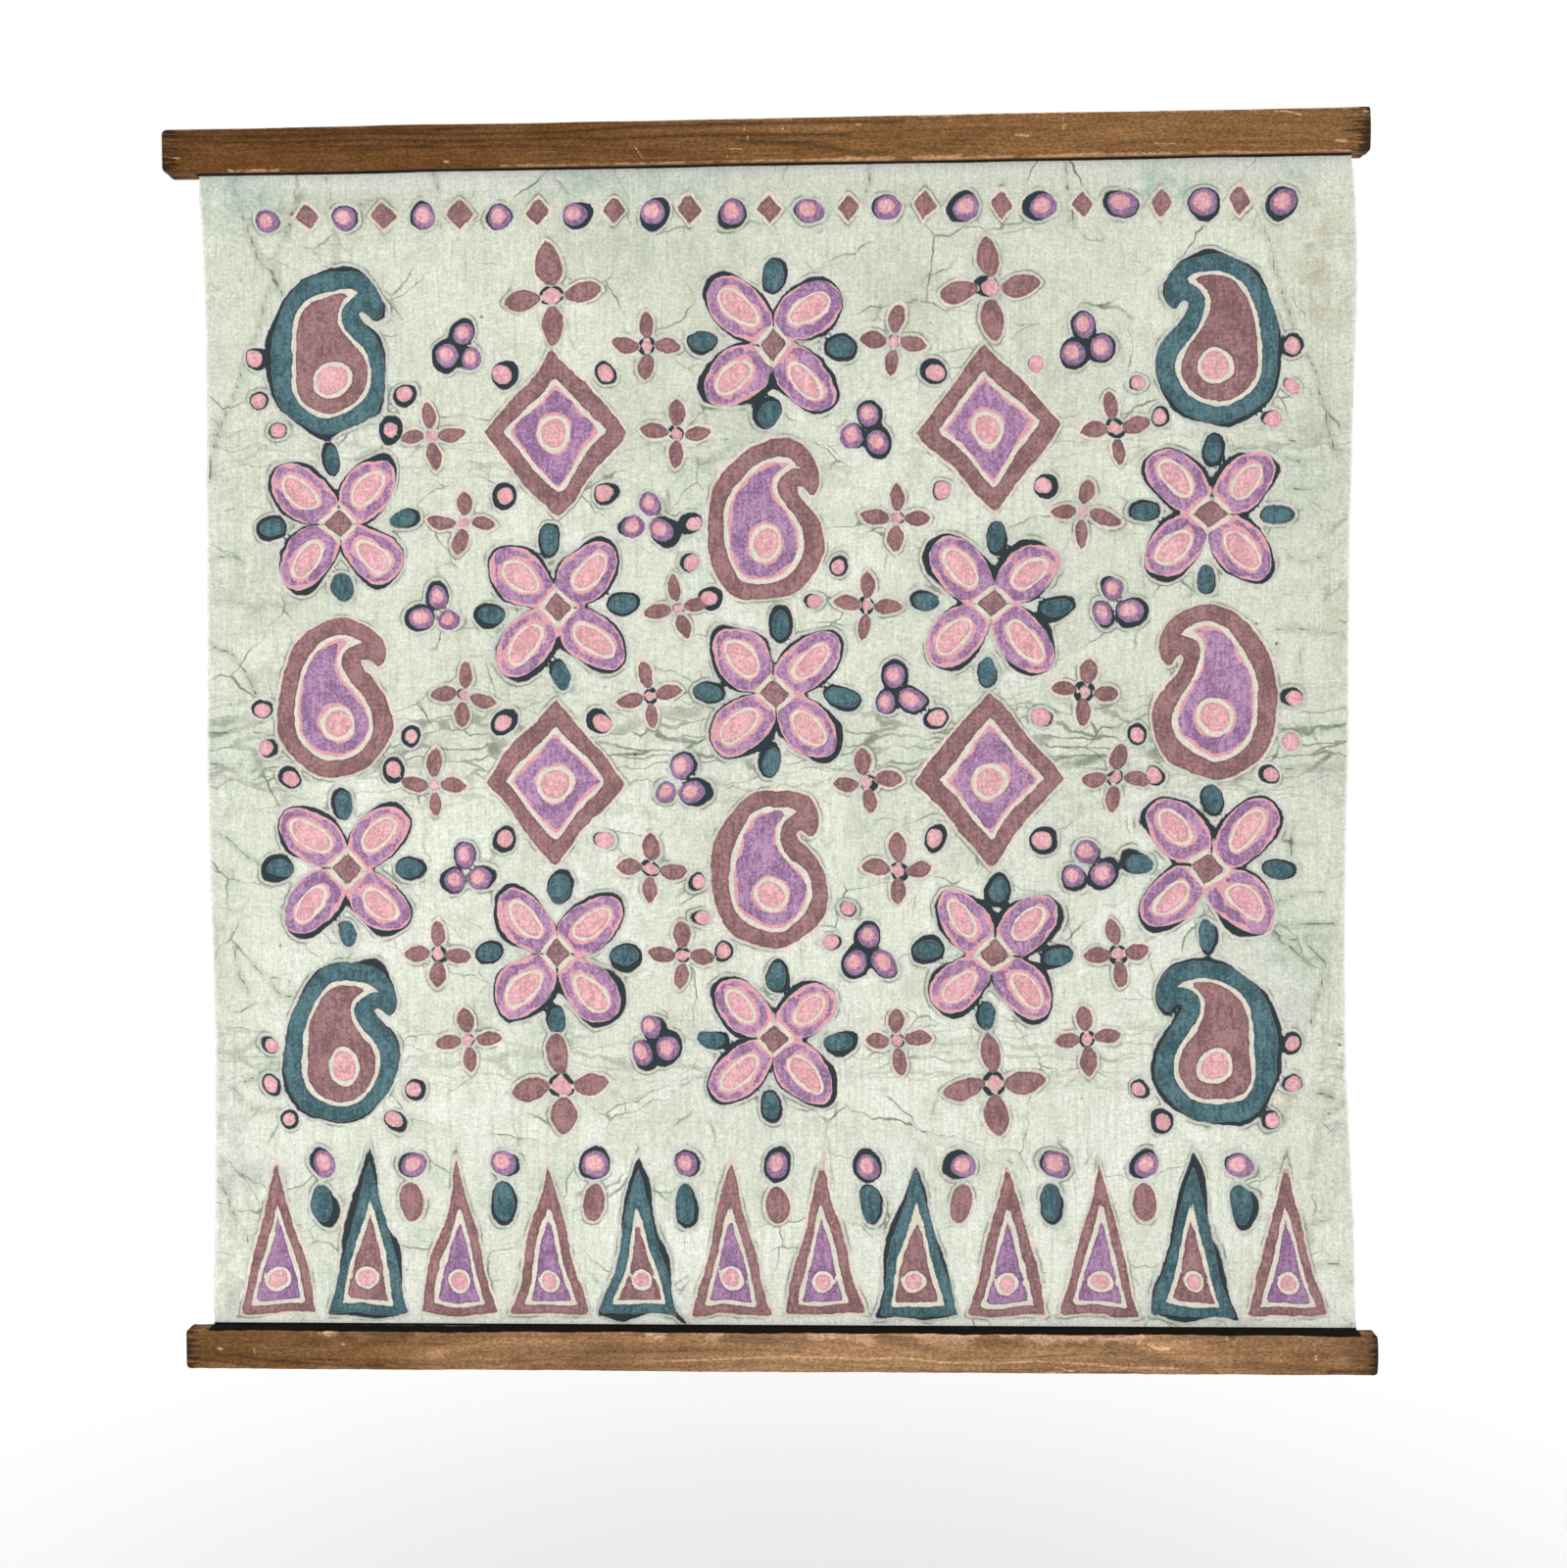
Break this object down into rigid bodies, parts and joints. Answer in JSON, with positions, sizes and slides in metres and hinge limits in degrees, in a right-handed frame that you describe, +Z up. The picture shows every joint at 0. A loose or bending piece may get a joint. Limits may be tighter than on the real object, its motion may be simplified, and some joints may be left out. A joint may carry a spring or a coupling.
{
  "type": "batik wall hanging with wooden slats",
  "caption": "Square sheet of wax-resist dyed cotton, clamped along its top and bottom edges between flat stained softwood slats and hung flat on a wall.",
  "frame": {"origin": "on the rear face of the slat behind the cloth at the top, where the hanging meets the wall, level with the middle of the slat in front", "axes": "+Z up, +Y into the wall, so the front of the cloth faces -Y, and +X to the viewer's right"},
  "size_m": [0.8044, 0.0158, 0.8355],
  "materials": {
    "batik_cotton": "plain-woven cotton, dyed through wax, matt",
    "stained_softwood": "planed, brown-stained, satin, worn at the arrises"
  },
  "bodies": {
    "root": {"cloth": "batik_cotton", "top_slat_front": "stained_softwood", "top_slat_back": "stained_softwood", "bottom_slat_front": "stained_softwood", "bottom_slat_back": "stained_softwood"}
  },
  "joints": []
}
